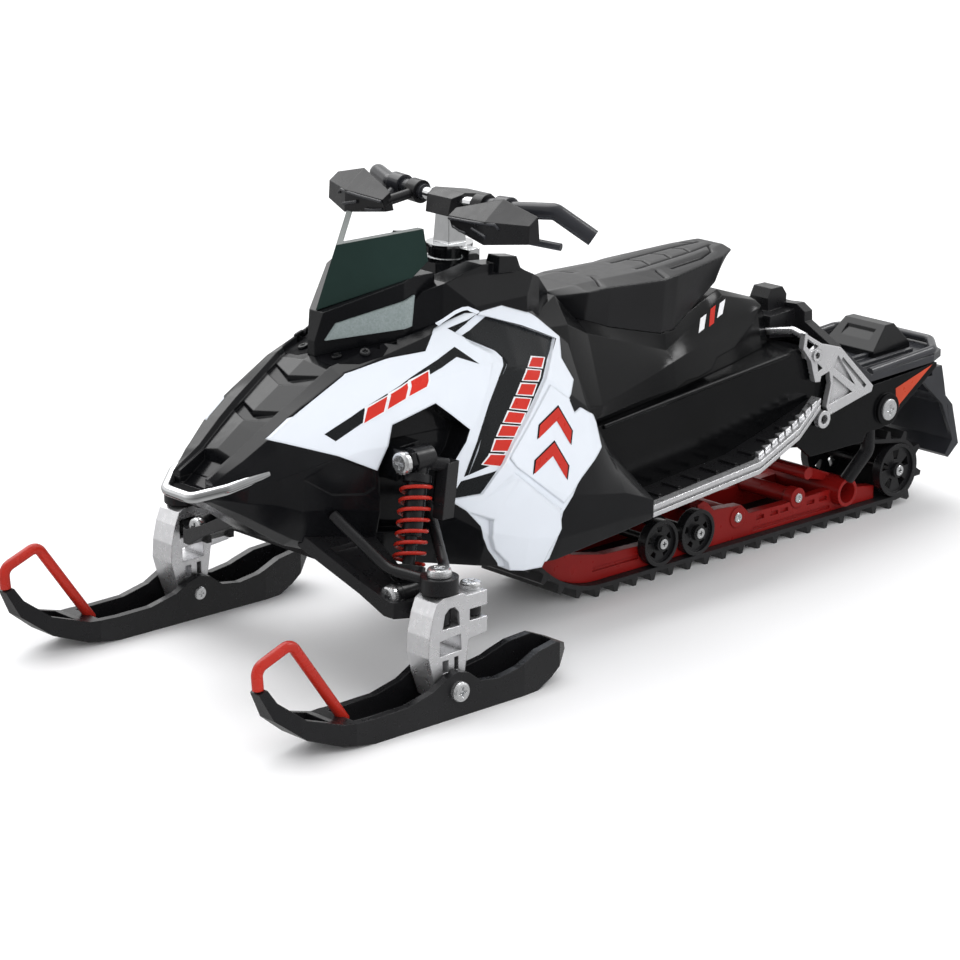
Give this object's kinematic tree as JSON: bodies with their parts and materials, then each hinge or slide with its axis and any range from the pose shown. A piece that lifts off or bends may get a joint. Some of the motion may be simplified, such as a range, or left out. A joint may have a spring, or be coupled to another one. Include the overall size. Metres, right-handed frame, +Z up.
{
  "type": "toy snowmobile",
  "caption": "Model snowmobile with steered skis on wishbone arms with coil shocks, a faceted hood, a swept windshield, a stepped seat and a lugged track with idler wheels.",
  "frame": {"origin": "on the floor under the middle of the overall length, on the centre line", "axes": "+X to the front along the length, +Y to the rider's left, +Z up"},
  "size_m": [0.198, 0.079, 0.0791],
  "materials": {
    "gloss_black": "gloss",
    "satin_black": "satin",
    "white": "gloss",
    "red": "gloss",
    "dark_red": "gloss",
    "silver": "satin",
    "chrome": "polished",
    "zinc": "bright",
    "smoked": "gloss",
    "lens_grey": "gloss",
    "rubber": "matte"
  },
  "bodies": {
    "chassis": {"side_panels": "white", "hood": "gloss_black", "belly_pan": "gloss_black", "console": "satin_black", "headlight_housing": "gloss_black", "headlight_lenses": "lens_grey", "windshield": "smoked", "front_bumper": "chrome", "seat_base": "gloss_black", "seat": "satin_black", "rear_saddle": "satin_black", "tunnel": "gloss_black", "running_boards": "satin_black", "side_rails": "silver", "rear_trusses": "silver", "rear_deck": "satin_black", "tail_lamp": "gloss_black", "snow_flap": "satin_black", "track": "rubber", "skid_frame": "dark_red", "skid_wheels": "satin_black", "rear_links": "satin_black", "front_links": "satin_black", "lower_arms": "satin_black", "upper_arms": "satin_black", "shocks": "satin_black", "springs": "red", "chassis_screws": "zinc"},
    "steering": {"steering_column": "chrome", "handlebar": "chrome", "grips": "satin_black", "gauge_pod": "satin_black", "hand_guards": "satin_black", "levers": "satin_black"},
    "spindle_left": {"spindle_left": "silver", "spindle_screws_left": "zinc"},
    "spindle_right": {"spindle_right": "silver", "spindle_screws_right": "zinc"},
    "tie_rod": {"tie_rod": "satin_black"},
    "ski_left": {"ski_left": "satin_black", "ski_pin_left": "zinc", "ski_loop_left": "red"},
    "ski_right": {"ski_right": "satin_black", "ski_pin_right": "zinc", "ski_loop_right": "red"}
  },
  "joints": [
    {"name": "handlebar_turn", "type": "hinge", "parent": "chassis", "child": "steering", "pos_m": [0.027, 0, 0.064], "axis": [0, 0, 1], "range_deg": [-21, 21]},
    {"name": "spindle_left_turn", "type": "hinge", "parent": "chassis", "child": "spindle_left", "pos_m": [0.06, 0.03375, 0.0166], "axis": [0, 0, 1], "range_deg": [-21, 21]},
    {"name": "spindle_right_turn", "type": "hinge", "parent": "chassis", "child": "spindle_right", "pos_m": [0.06, -0.03375, 0.0166], "axis": [0, 0, 1], "range_deg": [-21, 21]},
    {"name": "tie_rod_turn", "type": "hinge", "parent": "spindle_left", "child": "tie_rod", "pos_m": [0.0531, 0.03375, 0.0162], "axis": [0, 0, 1], "range_deg": [-21, 21]},
    {"name": "ski_left_pitch", "type": "hinge", "parent": "spindle_left", "child": "ski_left", "pos_m": [0.06, 0.03375, 0.0046], "axis": [0, 1, 0], "range_deg": [-15, 15]},
    {"name": "ski_right_pitch", "type": "hinge", "parent": "spindle_right", "child": "ski_right", "pos_m": [0.06, -0.03375, 0.0046], "axis": [0, 1, 0], "range_deg": [-15, 15]}
  ],
  "couplings": [
    {"joint": "spindle_left_turn", "follows": "handlebar_turn", "ratio": 1},
    {"joint": "spindle_right_turn", "follows": "handlebar_turn", "ratio": 1},
    {"joint": "tie_rod_turn", "follows": "handlebar_turn", "ratio": -1}
  ]
}
